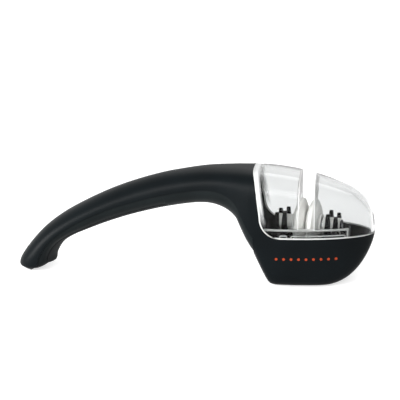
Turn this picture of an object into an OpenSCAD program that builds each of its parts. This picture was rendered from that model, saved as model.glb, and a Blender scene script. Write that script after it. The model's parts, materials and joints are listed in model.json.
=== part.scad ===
// Pull-through knife sharpener: arched handle, head with a clear hood, two ceramic wheels on a skewed axle.
// Millimetres. X runs from the tail to the nose, Z is up, and the origin is the middle of the resting face.

/* [Head] */
// half width of the head at its widest
head_half_w = 22; // [21.6:0.1:22.4]
// height of the rim where the clear cover meets the bowl
rim_z = 29.2; // [28.9:0.1:29.6]
// nose end along X
nose_x = 38; // [37.6:0.1:39]
// height of the crown of the head
crown_z = 64.2; // [63.9:0.1:64.6]
// wall of the bowl
bowl_wall = 2.1; // [1.8:0.1:2.2]
// floor of the bowl
floor_t = 2.8; // [2.4:0.1:3.2]
// thickness of the sole pad
pad_t = 0.8; // [0.6:0.1:1]

/* [Handle] */
// half width of the handle
handle_half_w = 12.6; // [12.3:0.1:12.9]
// wall of the handle shell
handle_wall = 1.4; // [1.2:0.1:1.8]
// step of the underside cover inside the shell's edge
cover_step = 0.7; // [0.4:0.1:0.9]
// thickness of the finger grip at the tail
grip_t = 2.8; // [2:0.1:3]

/* [Clear cover] */
// wall of the clear cover
clear_wall = 1.8; // [1.5:0.1:2]
// middle of the knife slot along X
slot_x = 0.4; // [0:0.1:0.8]
// width of the knife slot at its mouth
slot_top_w = 7.9; // [7.4:0.1:8.4]
// width of the knife slot at its foot
slot_low_w = 8.4; // [8:0.1:8.8]
// height of the foot of the knife slot
slot_z = 34.6; // [33:0.1:36]
// height where the slot's inner guide walls end above the wheels
guide_z = 48.4; // [48:0.1:50]

/* [Wheels] */
// free space from the wheels to the side walls of the cradle at its widest
wheel_c = 3.2; // [2.9:0.1:3.6]
// thickness of each wheel at its hub
wheel_t = 6.5; // [6:0.1:6.7]
// thickness of the wheel at its edge
edge_t = 2.4; // [1.8:0.1:3]
// radius where the bevel of the wheel starts
bevel_r = 7.6; // [7:0.1:9]
// free space between the two wheels
wheel_gap = 0.9; // [0.8:0.05:1]
// height of the axle above the rim
axle_rise = 3.4; // [3.2:0.1:3.6]
// place of the middle of the axle along X
axle_x = 0.4; // [0:0.1:0.8]
// skew of the axle about the upright
skew = 9.9; // [9:0.1:10.5]
// diameter of the axle
axle_d = 3; // [2.6:0.1:3.4]
// radial running clearance of the hubs on the axle
run_c = 0.03; // [0.02:0.01:0.06]
// outer diameter of the hubs
hub_d = 9; // [8.4:0.1:9.6]
// outer diameter of the bearing bushes
bush_d = 9; // [8.6:0.1:9.2]

/* [Cradle] */
// free space between the bowl's wall and the latch strips
cradle_gap = 0.7; // [0.5:0.1:0.8]
// thickness of the clear latch strips
strip_t = 0.8; // [0.6:0.1:0.9]
// wall of the cradle box
cradle_wall = 1; // [0.8:0.1:1.1]
// height of the near latch strip's top edge above the rim
strip_rise = 5.1; // [4.8:0.1:5.4]
// width of one prong along the axle at its foot
prong_w = 3.3; // [3:0.1:3.5]
// width of one prong along the axle at its tip
prong_tip_w = 1.9; // [1.6:0.1:2.2]
// height of the inner prongs above the axle
inner_prong_h = 7.5; // [7:0.1:8]
// height of the outer prongs above the axle
outer_prong_h = 6.3; // [5.8:0.1:6.8]

/* [Hidden] */
$fn = 48;

black = "#191c1f";
clear = [0.86, 0.89, 0.9, 0.35];
white = "#f2f2ef";
steel = "#b9bcc0";

// how far the neck stays inside the head's width, and the half width from the handle, 0, to the head, 1
neck_step = 0.8;
function flare(t) = handle_half_w + (head_half_w - neck_step - handle_half_w) * t;

// The handle from tail to head, read off the photograph.
// Each row: low point x and z, top point x and z, half width, seam height above the low point,
// fullness of the upper and of the lower section
rows = [
    [-153.4, 0.7, -158.2, 0.15, handle_half_w - 7.6, 4.4, 2.2, 2.2],
    [-147.5, 3.1, -162.4, 2.1, handle_half_w - 3.1, 7.8, 2.2, 2.2],
    [-143.7, 6.1, -164.8, 3.9, handle_half_w - 1.3, 9.2, 2.2, 2.2],
    [-142.5, 11, -162.9, 9.2, handle_half_w - 0.6, 8.8, 2.2, 2.2],
    [-138.7, 17.2, -156.8, 17.6, handle_half_w - 0.3, 8.4, 2.2, 2.2],
    [-132.7, 21.6, -149.1, 25.9, handle_half_w - 0.1, 8.3, 2.2, 2.2],
    [-124.4, 25.5, -138.1, 34.4, handle_half_w, 8.4, 2.2, 2.2],
    [-113.8, 29.9, -123.5, 42.8, handle_half_w, 8.5, 2.2, 2.2],
    [-102.2, 34.1, -108.7, 49.9, handle_half_w, 8.7, 2.2, 2.2],
    [-90.5, 37.6, -94.4, 55.3, handle_half_w, 8.9, 2.2, 2.2],
    [-79, 40.5, -80.8, 59.4, flare(0.023), 9.2, 2.2, 2.2],
    [-68.2, 42.6, -68.2, 62, flare(0.081), 9.5, 2.3, 2.2],
    [-59.4, 43.7, -58.1, 63.6, flare(0.186), 9.8, 2.4, 2.2],
    [-52.1, 43.3, -50.1, 64.15, flare(0.326), 10.2, 2.6, 2.2],
    [-45.1, 40.9, -43.6, 64.35, flare(0.488), 10.6, 2.8, 2.3],
    [-39.7, 36.6, -38.9, 64.4, flare(0.651), 10.9, 3.1, 2.3],
    [-36.6, 30.8, -35.7, 64.3, flare(0.779), 11.1, 3.4, 2.4],
    [-33.5, 24.8, -33.5, 64.2, flare(0.884), 11.4, 3.7, 2.5],
    [-30.8, 20.5, -32, 64.1, flare(0.953), 11.7, 3.9, 2.6],
    [-28.2, 17, -30.9, crown_z - 0.15, flare(1), rim_z - 17.1, 4, 2.6]];
last = len(rows) - 1;
// row steps of the lofts, closer together at the tail
steps = [for (s = [0:0.5:3.5]) s, for (s = [4:0.667:last - 0.1]) s, last];
arc_n = 16;
// the underside cover stops short of the head and lies below the shell's seam
cover_end = 0.06;
seam_c = 0.06;

// head: back face of the bowl, and the leaning back face above the rim
back_x = -28.2;
function back_at(z) = back_x - 0.0578 * (z - 17);
function bowl_back(z) = back_x - 0.04 * (z - 17);
// places along X of the head's sections
nose_xs = [for (d = [15.5, 12, 9, 6.5, 4.5, 2.8, 1.6, 0.8, 0.3, 0.01]) nose_x - d];
head_xs = [back_x, -27.4, -26.2, -24.8, -23, -20.5, -17, -12, -4, 4, 12, 18, each nose_xs];
top_full = 4;
// the clear cover's edge: nearly upright at the back, then a fillet into the rim
edge_top_x = -30;
edge_low_x = -25.5;
edge_r = 11.5;
edge_c = 0.2;
// places along X of the clear cover's sections
cover_xs = [edge_top_x + 0.15, -29.5, -29, -28.3, -27.4, -26.4, edge_low_x - 0.1, -25, -24, -22.5, -20.5,
    -18.5, -16, -11, -4, 4, 12, 18, each nose_xs];

// axle parts, measured outwards from the middle of the axle
cradle_in = bowl_wall + cradle_gap + strip_t;
wheel_r = head_half_w - cradle_in - cradle_wall - wheel_c;
axle_z = rim_z + axle_rise;
wheel_in = wheel_gap / 2;
wheel_out = wheel_in + wheel_t;
flange_t = 1.2;
flange_d = hub_d + 3;
thrust_c = 0.2;
washer_t = 0.5;
washer_d = 7;
bush_in = wheel_out + flange_t + thrust_c + washer_t;
prong_in = 12.2;
prong_out = 16.65;
bush_out = 18.7;
left_bush_out = prong_out + 1.3;
clip_t = 0.8;
clip_d = 7;
axle_end = clip_t + 0.4;
prong_at = [-prong_out, -prong_in, prong_in, prong_out];
prong_tops = [outer_prong_h, inner_prong_h, inner_prong_h, outer_prong_h];
saddle_c = 0.02;
// half widths of a pair of prongs at the foot, at the axle and at the tip, and of the gap between the tips
foot_w = 7.4;
mid_w = 6.6;
tip_w = 5.2;
mouth_w = 3.7;

cradle_x0 = -22.6;
cradle_x1 = 24;
cradle_top = rim_z - 0.4;
seat_c = 0.04;
cradle_low = axle_z - wheel_r - 2.2;
cradle_floor = 1.6;
leg_d = 7;
leg_at = [[-9, -8], [-9, 8], [8, -8], [8, 8]];
inner_floor = pad_t + floor_t;

// windows of the latch strips, and holes for the cradle's lugs below the rim: first and last x, low and high z
windows = [[-14.1, -10.1, rim_z - 0.7, rim_z + 1.5], [-7.9, 21.6, rim_z - 0.7, rim_z + 1.4]];
lug_holes = [[-13, -7, rim_z - 3.9, rim_z - 2.1], [7, 13, rim_z - 3.9, rim_z - 2.1]];
strip_low = rim_z - 5.2;
strip_top = rim_z + strip_rise;
strip_x0 = -22.4;
strip_x1 = 23.2;
lug_c = 0.1;

grip_thin = 0.9;
grip_c = 0.16;
screw_d = 2.4;
screw_l = 7;
screw_c = 0.15;
head_d = 5;
head_h = 1.6;
post_d = 6;
// rows where the underside screws sit
post_rows = [6, 8.6, 11.6];
// sole pad: first and last x, half width, corner radius
pad_x0 = -14;
pad_x1 = 11;
pad_half_w = 11.5;
pad_r = 6;

// small helpers
function unit(v) = v / norm(v);
function clamp(t) = min(1, max(0, t));
function curve(a, b, c, d, t) = 0.5 * (2 * b + (c - a) * t + (2 * a - 5 * b + 4 * c - d) * t * t
    + (3 * b - a - 3 * c + d) * t * t * t);
function row(s) = let (i = min(last - 1, max(0, floor(s))), t = s - i)
    curve(rows[max(0, i - 1)], rows[i], rows[i + 1], rows[min(last, i + 2)], t);
function length_of(r) = norm([r[2] - r[0], r[3] - r[1]]);
function up_of(r) = unit([r[2] - r[0], 0, r[3] - r[1]]);
function at(r, y, v) = [r[0], y, r[1]] + v * up_of(r);
// point at angle a on a rounded square of fullness n, one unit wide and high
function around(a, n) = [cos(a), abs(sin(a))] * pow(pow(abs(cos(a)), n) + pow(abs(sin(a)), n), -1 / n);

// point of the handle's upper skin at angle a, moved in by i
function upper(r, i, a) = let (q = around(a, r[6]))
    at(r, (r[4] - i) * q[0], r[5] + (length_of(r) - r[5] - i) * q[1]);
// point of the underside cover's skin at angle a, moved in by i, above the grip of thickness g
function lower(r, i, g, a) = let (q = around(a, r[7]), h = r[5] - seam_c)
    at(r, (r[4] - cover_step - i) * q[0], h - (h - g - i) * q[1]);
// unit vectors along the low and the top outline, and square to the low one
function way(s, i) = let (a = row(s - 0.2), b = row(s + 0.2)) unit([b[i] - a[i], 0, b[i + 1] - a[i + 1]]);
function left_of(d) = [-d[2], 0, d[0]];
function post_up(s) = left_of(way(s, 0));
// height of the underside cover's skin, of the post's foot, and of the handle's top along a post
function skin_z(s) = grip_at(s) * (up_of(row(s)) * post_up(s));
function post_z(s) = skin_z(s) + head_h + 1.2;
function post_l(s) = let (r = row(s), n = left_of(way(s, 2)))
    ([r[2] - r[0], 0, r[3] - r[1]] * n) / (post_up(s) * n);
// thickness of the finger grip along the handle
function ease(t) = let (c = clamp(t)) c * c * (3 - 2 * c);
function grip_at(s) = grip_t - (grip_t - grip_thin) * ease((s - 3.2) / 3) - grip_thin * ease((s - 9.8) / 0.6);

// half width of the head in plan, moved in by i: an ellipse towards the nose
function plan_w(x, i) = (head_half_w - i - 0.9 * pow(clamp((-16 - x) / 14), 2))
    * sqrt(1 - pow(clamp((x + 18) / (nose_x - i + 18)), 2));
// crown line of the clear cover, moved in by i
function crown(x, i) = let (u = clamp((x - 20.3) / (nose_x - i - 20.3)))
    rim_z + (crown_z - i - 0.0037 * pow(x + 30, 2) - rim_z) * pow(1 - pow(u, 3.1), 1 / 3.1);
// keel line of the bowl, moved in by i
function keel(x, i) = let (u = clamp((x - 5) / (nose_x - i - 5)), l = 1.78 * (-19.85 - x + i))
    x > -8 ? rim_z - (rim_z - pad_t + 0.1 - i) * pow(1 - pow(u, 2.9), 0.75)
    : min(rim_z - 1, pad_t - 0.1 + i + (l + sqrt(l * l + 5.1)) / 2);
function low_full(x) = 8 - 5.4 * clamp((-16 - x) / 12.4) - 4 * pow(clamp((x - 14) / (nose_x - 16.4)), 0.9);
function hood(x, i, a) = let (q = around(a, top_full))
    [x, plan_w(x, i) * q[0], rim_z + (crown(x, i) - rim_z) * q[1]];
function tub(x, i, f, a) = let (q = around(a, low_full(x)))
    [x, plan_w(x, i) * q[0], max(pad_t + f, rim_z - (rim_z - keel(x, f)) * q[1])];
// part of the hood's height, and the hood's half width, at a place x, z
function part_up(x, z, i) = clamp((z - rim_z) / (crown(x, i) - rim_z));
function side_of(h) = pow(1 - pow(h, top_full), 1 / top_full);
function hood_w(x, z, i) = plan_w(x, i) * side_of(part_up(x, z, i));
// angle of the hood's skin at height z
function hood_a(x, z, i) = let (h = part_up(x, z, i)) atan2(h, side_of(h));
// the clear cover's edge: height at x, and place along X at height z
fillet_x = edge_low_x + edge_r;
fillet_z = rim_z + edge_r;
edge_h = crown_z - 0.1 - fillet_z;
function lean(t) = 3.3 * t + 1.2 * pow(t, 8);
function edge_z(x) = x >= fillet_x ? rim_z
    : x >= edge_low_x ? fillet_z - sqrt(max(0, edge_r * edge_r - pow(fillet_x - x, 2)))
    : fillet_z + edge_h * lookup(edge_low_x - x, [for (k = [0:24]) [lean(k / 24), k / 24]]);
function edge_x(z) = z <= fillet_z ? fillet_x - sqrt(max(0, edge_r * edge_r - pow(fillet_z - z, 2)))
    : edge_low_x - lean((z - fillet_z) / edge_h);

// A strip section: an outer line of points and an inner line of as many points, drawn back the other way.
function strip(out, in) = concat(out, [for (k = [len(in) - 1:-1:0]) in[k]]);
module loft(rings) {
    m = len(rings[0]);
    h = m / 2;
    k = len(rings) - 1;
    sides = [for (i = [0:k - 1]) for (j = [0:m - 1]) let (a = i * m + j, b = i * m + (j + 1) % m)
        each [[a, b, b + m], [a, b + m, a + m]]];
    ends = [for (j = [0:h - 2]) let (a = j, b = j + 1, c = m - 2 - j, d = m - 1 - j, e = k * m)
        each [[a, c, b], [a, d, c], [e + a, e + b, e + c], [e + a, e + c, e + d]]];
    faces = concat(sides, ends);
    pts = [for (r = rings) each r];
    bulk = [for (f = faces) pts[f[0]] * cross(pts[f[1]], pts[f[2]])] * [for (f = faces) 1];
    polyhedron(pts, bulk > 0 ? [for (f = faces) [f[0], f[2], f[1]]] : faces);
}
module along_axle() { translate([axle_x, 0, axle_z]) rotate([0, 0, -skew]) children(); }
module rod(x0, x1, d) { translate([x0, 0, 0]) rotate([0, 90, 0]) cylinder(h = x1 - x0, d = d); }
module tube(x0, x1, d, bore) {
    difference() {
        rod(x0, x1, d);
        rod(x0 - 1, x1 + 1, bore);
    }
}

module handle_skin() {
    loft([for (s = steps) let (r = row(s)) strip(
        [for (k = [0:arc_n]) upper(r, 0, 180 * k / arc_n)],
        [for (k = [0:arc_n]) s < 1.2 ? at(r, 0.9 * r[4] * cos(180 * k / arc_n), r[5])
            : upper(r, handle_wall, 180 * k / arc_n)])]);
}
module bowl() {
    open0 = back_x + bowl_wall;
    open1 = nose_x - bowl_wall;
    // the first section leans back a little
    loft([for (x = head_xs) strip(
        [for (k = [0:arc_n]) let (q = tub(x, 0, 0, 180 * k / arc_n))
            [x > back_x ? x : bowl_back(q[2]), q[1], q[2]]],
        [for (k = [0:arc_n]) x < open0 || x > open1
            ? [x > back_x ? x : bowl_back(rim_z), 0.93 * plan_w(x, 0) * cos(180 * k / arc_n), rim_z]
            : tub(x, bowl_wall, floor_t, 180 * k / arc_n)])]);
}
// back of the head above the rim: a leaning wall across, with cheeks that follow the clear cover's edge
module back_wall() {
    parts = [-0.023, 0.001, 0.015, 0.035, 0.065, 0.1, 0.15, 0.21, 0.33, 0.43, 0.55, 0.68, 0.79, 0.87, 0.925,
        0.96, 0.982, 0.995];
    loft([for (f = parts) let (z = rim_z + f * (crown_z - rim_z), h = max(z, rim_z), i = f < 0 ? 0.3 : 0.02,
        k = f < 0 ? back_x - 0.2 : back_at(h) - 0.3, b = edge_x(h) - (f < 0 ? 1 : edge_c),
        n = min(k + 1.9, b - 0.2),
        g = f < 0.05 ? 0.05 : 1.2, w = hood_w(k, h, 0) - 0.2, v = hood_w(b, h, 0) - i, t = bowl_wall - 2 * i)
        strip([[b, -v, z], [k, -w, z], [k - g, 1.2 - w, z], [k - g, w - 1.2, z], [k, w, z], [b, v, z]],
            [[b, t - v, z], [n, t - v, z], [n, 2 * t - w, z], [n, w - 2 * t, z], [n, v - t, z],
            [b, v - t, z]])]);
}

// screw posts stand square to the underside
module post_place(s) {
    r = row(s);
    u = post_up(s);
    translate([r[0], 0, r[1]]) rotate([0, atan2(u[0], u[2]), 0]) children();
}
// joins shells into one closed skin at their own size
module one_skin() { resize([0, 0, 0]) children(); }
module handle_body() {
    color(black) one_skin() difference() {
        union() {
            handle_skin();
            back_wall();
            bowl();
            for (s = post_rows) post_place(s) translate([0, 0, post_z(s)])
                cylinder(h = post_l(s) - post_z(s) - 0.9, d = post_d, $fn = 28);
        }
        for (s = post_rows) post_place(s) translate([0, 0, post_z(s) - 1])
            cylinder(h = screw_l, d = screw_d + screw_c, $fn = 16);
        for (p = leg_at) translate([p[0], p[1], 0]) {
            cylinder(h = pad_t + head_h, d = head_d + 0.4, $fn = 24);
            cylinder(h = inner_floor + 1, d = screw_d + 0.2, $fn = 16);
            translate([0, 0, inner_floor]) cylinder(h = 2, d = leg_d + 0.4, $fn = 32);
        }
    }
}

module underside_cover() {
    color("#22262a") one_skin() difference() {
        union() {
            loft([for (s = [for (q = steps) if (q >= 1 && q < last) q, last - cover_end])
                let (r = row(s), g = grip_at(s)) strip(
                [for (k = [0:arc_n]) lower(r, 0, g, -180 * k / arc_n)],
                [for (k = [0:arc_n]) s < 1.6 || s > last - 0.2
                    ? at(r, 0.88 * (r[4] - cover_step) * cos(180 * k / arc_n), r[5] - seam_c)
                    : lower(r, handle_wall, g, -180 * k / arc_n)])]);
            for (s = post_rows) post_place(s) translate([0, 0, skin_z(s) + 0.7])
                cylinder(h = post_z(s) - skin_z(s) - 0.7, d = head_d + 3, $fn = 24);
        }
        for (s = post_rows) post_place(s) translate([0, 0, -2]) {
            cylinder(h = skin_z(s) + head_h + 2.2, d = head_d + 0.4, $fn = 24);
            cylinder(h = 12, d = screw_d + 0.2, $fn = 16);
        }
    }
}

module finger_grip() {
    color("#2b2b31") loft([for (s = [2, 2.5, 3, 3.5, 4, 4.5, 5, 6, 7, 8, 9, 10])
        let (r = row(s), g = grip_at(s), n = 8) strip(
        [for (k = [-n:n]) lower(r, -grip_c, g, -90 + 42 * k / n)],
        [for (k = [-n:n]) lower(r, -grip_c, g, -90 + 42 * k / n)
            - (0.3 + (g - 0.3 - grip_c) * (1 - pow(k / n, 2))) * up_of(r)])]);
}

module clear_cover() {
    module guide(side) {
        top = crown(slot_x + side * (slot_top_w / 2 + 1.2), 0) - 1.1;
        loft([for (f = [0, 0.3, 0.55, 0.75, 0.9, 1]) let (z = guide_z + f * (top - guide_z),
            a = slot_x + side * (max(slot_low_w, slot_top_w) / 2 + 0.12), b = a + side * 1.2,
            c = hood_w(a, z, 0) - 0.8, d = hood_w(b, z, 0) - 0.8)
            side < 0 ? [[b, -d, z], [a, -c, z], [a, c, z], [b, d, z]]
            : [[a, -c, z], [b, -d, z], [b, d, z], [a, c, z]]]);
    }
    color(clear) one_skin() union() {
        difference() {
            loft([for (x = cover_xs) let (z = edge_z(x), p = hood_a(x, z, 0), o = x > nose_x - clear_wall,
                q = min(80, hood_a(x, z, clear_wall))) strip(
                [for (k = [0:arc_n]) hood(x, 0, p + (180 - 2 * p) * k / arc_n)],
                [for (k = [0:arc_n]) o ? [x, 0.93 * plan_w(x, 0) * cos(180 * k / arc_n), rim_z]
                    : hood(x, clear_wall, q + (180 - 2 * q) * k / arc_n)])]);
            translate([0, 40, 0]) rotate([90, 0, 0]) linear_extrude(80) polygon([
                [slot_x - slot_low_w / 2, slot_z + 1.2], [slot_x - slot_low_w / 2 + 1.2, slot_z],
                [slot_x + slot_low_w / 2 - 1.2, slot_z], [slot_x + slot_low_w / 2, slot_z + 1.2],
                [slot_x + slot_top_w / 2, crown_z - 6], [slot_x + slot_top_w / 2 + 1, crown_z + 5],
                [slot_x - slot_top_w / 2 - 1, crown_z + 5], [slot_x - slot_top_w / 2, crown_z - 6]]);
        }
        guide(-1);
        guide(1);
    }
}

// rounded openings drawn in by c and cut through the near side
module window_cut(list, c) {
    translate([0, 1, 0]) rotate([90, 0, 0]) linear_extrude(head_half_w + 1) for (w = list) {
        r = (w[3] - w[2]) / 2 - 0.1;
        hull() for (x = [w[0] + r, w[1] - r]) translate([x, (w[2] + w[3]) / 2]) circle(r = r - c);
    }
}
// places along X of the strips and of the cradle, and a band along the near side between two plan lines
function side_xs(x0, x1) = [x0, for (x = [-20:4:20]) x, x1];
module side_band(x0, x1, i, j, z0, z1) {
    xs = side_xs(x0, x1);
    translate([0, 0, z0]) linear_extrude(z1 - z0) polygon(concat([for (x = xs) [x, -plan_w(x, i)]],
        [for (k = [len(xs) - 1:-1:0]) [xs[k], -plan_w(xs[k], j)]]));
}
module latch_strip(top, list) {
    difference() {
        side_band(strip_x0, strip_x1, cradle_in - strip_t, cradle_in, strip_low, top);
        window_cut(list, 0);
    }
}
module near_latch_strip() { color(clear) latch_strip(strip_top, concat(windows, lug_holes)); }
module far_latch_strip() { color(clear) mirror([0, 1, 0]) latch_strip(cradle_top, lug_holes); }

module wheel_cradle() {
    module clip_shape(h) {
        foot = cradle_low - axle_z + 1;
        difference() {
            polygon([[-foot_w, foot], [foot_w, foot], [mid_w, 0], [tip_w, h], [-tip_w, h], [-mid_w, 0]]);
            circle(d = bush_d + 2 * saddle_c);
            translate([-mouth_w, 0]) square([2 * mouth_w, 20]);
        }
    }
    // outline of a prong seen across the axle: an even foot, then narrower towards the tip
    module taper(h) {
        polygon([[-prong_w / 2, -25], [prong_w / 2, -25], [prong_w / 2, -4], [prong_tip_w / 2, h],
            [-prong_tip_w / 2, h], [-prong_w / 2, -4]]);
    }
    // box that follows the plan, moved in by i, above the side outline p
    module box(i, p) {
        xs = side_xs(cradle_x0, cradle_x1);
        intersection() {
            linear_extrude(cradle_top + i) polygon(concat([for (x = xs) [x, -plan_w(x, i)]],
                [for (k = [len(xs) - 1:-1:0]) [xs[k], plan_w(xs[k], i)]]));
            translate([0, 40, 0]) rotate([90, 0, 0]) linear_extrude(80) polygon(p);
        }
    }
    low_in = cradle_low + cradle_floor;
    color("#0d0e10") union() {
        difference() {
            box(cradle_in + seat_c, [[cradle_x0, cradle_top], [cradle_x0, cradle_low + 5.3],
                [cradle_x0 + 3.6, cradle_low], [cradle_x1, cradle_low], [cradle_x1, cradle_top]]);
            box(cradle_in + cradle_wall, [[cradle_x0 + cradle_wall, 60],
                [cradle_x0 + cradle_wall, low_in + 4.5], [cradle_x0 + 4.4, low_in],
                [cradle_x1 - cradle_wall, low_in], [cradle_x1 - cradle_wall, 60]]);
            for (p = leg_at) translate([p[0], p[1], cradle_low - 1]) cylinder(h = 4, d = screw_d);
        }
        for (p = leg_at) translate([p[0], p[1], inner_floor]) difference() {
            cylinder(h = cradle_low - inner_floor + 0.2, d = leg_d);
            translate([0, 0, -1]) cylinder(h = 20, d = screw_d);
        }
        along_axle() for (i = [0:3]) translate([prong_at[i], 0, 0]) intersection() {
            translate([-prong_w / 2, 0, 0]) rotate([90, 0, 90]) linear_extrude(prong_w)
                clip_shape(prong_tops[i]);
            rotate([90, 0, 0]) translate([0, 0, -20]) linear_extrude(40) taper(prong_tops[i]);
        }
        for (m = [0, 1]) mirror([0, m, 0]) intersection() {
            side_band(strip_x0, strip_x1, cradle_in - 0.6 * strip_t, cradle_in + 0.3, strip_low, cradle_top);
            window_cut(lug_holes, lug_c);
        }
    }
}

// Wheel, hub and bush lie on the right; the left ones are mirrored.
module disc() {
    side = [for (k = [0:7]) let (t = k / 7) [bevel_r + (wheel_r - 0.5 - bevel_r) * t,
        (wheel_t - edge_t) / 2 * pow(t, 1.6)]];
    rotate([0, 90, 0]) rotate_extrude($fn = 96) polygon(concat([[hub_d / 2, wheel_in]],
        [for (p = side) [p[0], wheel_in + p[1]]],
        [[wheel_r, wheel_in + (wheel_t - edge_t) / 2 + 0.5],
        [wheel_r, wheel_out - (wheel_t - edge_t) / 2 - 0.5]],
        [for (k = [7:-1:0]) [side[k][0], wheel_out - side[k][1]]], [[hub_d / 2, wheel_out]]));
}
module hub() {
    difference() {
        union() {
            rod(wheel_in, wheel_out, hub_d);
            rod(wheel_out, wheel_out + flange_t, flange_d);
        }
        rod(0, 20, axle_d + 2 * run_c);
    }
}
module bush(out) { tube(bush_in, out, bush_d, axle_d); }
module thrust_washer() { tube(bush_in - washer_t, bush_in, washer_d, axle_d); }

module left_wheel() { color(white) along_axle() mirror([1, 0, 0]) disc(); }
module right_wheel() { color(white) along_axle() disc(); }
module left_hub() { color("#e6e6e2") along_axle() mirror([1, 0, 0]) hub(); }
module right_hub() { color("#e6e6e2") along_axle() hub(); }
module axle() {
    color(steel) along_axle() rod(-left_bush_out - axle_end, bush_out + axle_end, axle_d);
}
module left_bush() { color("#e9e9e6") along_axle() mirror([1, 0, 0]) bush(left_bush_out); }
module right_bush() { color("#e9e9e6") along_axle() bush(bush_out); }
module centre_washer() { color(steel) along_axle() tube(-washer_t / 2, washer_t / 2, washer_d, axle_d); }
module left_thrust_washer() { color(steel) along_axle() mirror([1, 0, 0]) thrust_washer(); }
module right_thrust_washer() { color(steel) along_axle() thrust_washer(); }
module axle_clips() {
    color(steel) along_axle() for (x = [-left_bush_out - clip_t, bush_out])
        tube(x, x + clip_t, clip_d, axle_d);
}

module cradle_screws() {
    color(steel) for (p = leg_at) translate([p[0], p[1], pad_t]) {
        cylinder(h = head_h, d = head_d);
        cylinder(h = cradle_low - pad_t - 0.5, d = screw_d);
    }
}

module underside_screws() {
    color(steel) for (s = post_rows) post_place(s) translate([0, 0, skin_z(s) + 0.2]) {
        cylinder(h = head_h, d = head_d);
        cylinder(h = screw_l, d = screw_d);
    }
}

module sole_pad() {
    color("#24262a") linear_extrude(pad_t) hull() for (x = [pad_x0 + pad_r, pad_x1 - pad_r],
        y = [pad_r - pad_half_w, pad_half_w - pad_r]) translate([x, y]) circle(r = pad_r);
}

handle_body();
underside_cover();
finger_grip();
clear_cover();
near_latch_strip();
far_latch_strip();
wheel_cradle();
left_wheel();
right_wheel();
left_hub();
right_hub();
axle();
left_bush();
right_bush();
centre_washer();
left_thrust_washer();
right_thrust_washer();
axle_clips();
cradle_screws();
underside_screws();
sole_pad();
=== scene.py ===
import json
import math
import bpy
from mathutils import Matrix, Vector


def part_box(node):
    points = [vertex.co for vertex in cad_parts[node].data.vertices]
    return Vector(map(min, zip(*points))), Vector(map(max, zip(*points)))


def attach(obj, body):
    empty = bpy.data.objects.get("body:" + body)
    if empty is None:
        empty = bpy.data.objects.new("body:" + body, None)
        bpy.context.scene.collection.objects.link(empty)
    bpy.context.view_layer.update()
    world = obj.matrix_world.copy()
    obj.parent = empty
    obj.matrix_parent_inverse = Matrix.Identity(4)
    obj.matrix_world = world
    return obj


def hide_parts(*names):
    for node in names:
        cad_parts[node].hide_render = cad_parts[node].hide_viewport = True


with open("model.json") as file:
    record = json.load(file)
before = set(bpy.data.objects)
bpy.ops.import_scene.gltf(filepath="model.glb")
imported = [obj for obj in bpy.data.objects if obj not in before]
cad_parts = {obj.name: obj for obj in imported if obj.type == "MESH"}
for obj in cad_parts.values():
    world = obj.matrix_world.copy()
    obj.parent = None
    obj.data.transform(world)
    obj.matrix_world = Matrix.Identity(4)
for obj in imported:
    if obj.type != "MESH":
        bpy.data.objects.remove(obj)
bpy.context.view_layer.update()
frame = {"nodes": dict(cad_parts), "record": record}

from types import SimpleNamespace

import bmesh
import bpy
import numpy as np
from bpy.props import FloatProperty, FloatVectorProperty
from mathutils import Vector

bl_info = {
    "name": "Pull-through knife sharpener",
    "version": (1, 0, 0),
    "blender": (4, 5, 0),
    "location": "3D View > Sidebar > Sharpener",
    "description": "Builds the looks of a pull-through knife sharpener over its solid model",
    "category": "Object",
}

HOOD_LOW, HOOD_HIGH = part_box("clear_cover")
WHEEL_LOW, WHEEL_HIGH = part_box("right_wheel")
# the clear cover's solid stands this far inside the skin of the head, in metres
COVER_INSIDE = 1e-5
# both wheels spin on one axle; from here on, sizes are in millimetres where no comment says metres
SPIN = frame["record"]["behaviour"]["joints"][0]
AXLE_AT = np.array(SPIN["pos_m"]) * 1000
AXLE_WAY = np.array(SPIN["axis"])
BODY = "sharpener"

# The handle from tail to head, in millimetres: low point x and z, top point x and z, half width,
# seam height above the low point, fullness of the upper and of the lower section.
ROWS = np.array([
    [-153.4, 0.7, -158.2, 0.15, 5, 4.4, 2.2, 2.2], [-147.5, 3.1, -162.4, 2.1, 9.5, 7.8, 2.2, 2.2],
    [-143.7, 6.1, -164.8, 3.9, 11.3, 9.2, 2.2, 2.2], [-142.5, 11, -162.9, 9.2, 12, 8.8, 2.2, 2.2],
    [-138.7, 17.2, -156.8, 17.6, 12.3, 8.4, 2.2, 2.2], [-132.7, 21.6, -149.1, 25.9, 12.5, 8.3, 2.2, 2.2],
    [-124.4, 25.5, -138.1, 34.4, 12.6, 8.4, 2.2, 2.2], [-113.8, 29.9, -123.5, 42.8, 12.6, 8.5, 2.2, 2.2],
    [-102.2, 34.1, -108.7, 49.9, 12.6, 8.7, 2.2, 2.2], [-90.5, 37.6, -94.4, 55.3, 12.6, 8.9, 2.2, 2.2],
    [-79, 40.5, -80.8, 59.4, 12.8, 9.2, 2.2, 2.2], [-68.2, 42.6, -68.2, 62, 13.3, 9.5, 2.3, 2.2],
    [-59.4, 43.7, -58.1, 63.6, 14.2, 9.8, 2.4, 2.2], [-52.1, 43.3, -50.1, 64.15, 15.4, 10.2, 2.6, 2.2],
    [-45.1, 40.9, -43.6, 64.35, 16.8, 10.6, 2.8, 2.3], [-39.7, 36.6, -38.9, 64.4, 18.2, 10.9, 3.1, 2.3],
    [-36.6, 30.8, -35.7, 64.3, 19.3, 11.1, 3.4, 2.4], [-33.5, 24.8, -33.5, 64.2, 20.2, 11.4, 3.7, 2.5],
    [-30.8, 20.5, -32, 64.1, 20.8, 11.7, 3.9, 2.6], [-28.2, 17, -30.9, 64.05, 21.2, 12.1, 4, 2.6]])
LAST = len(ROWS) - 1
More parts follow.
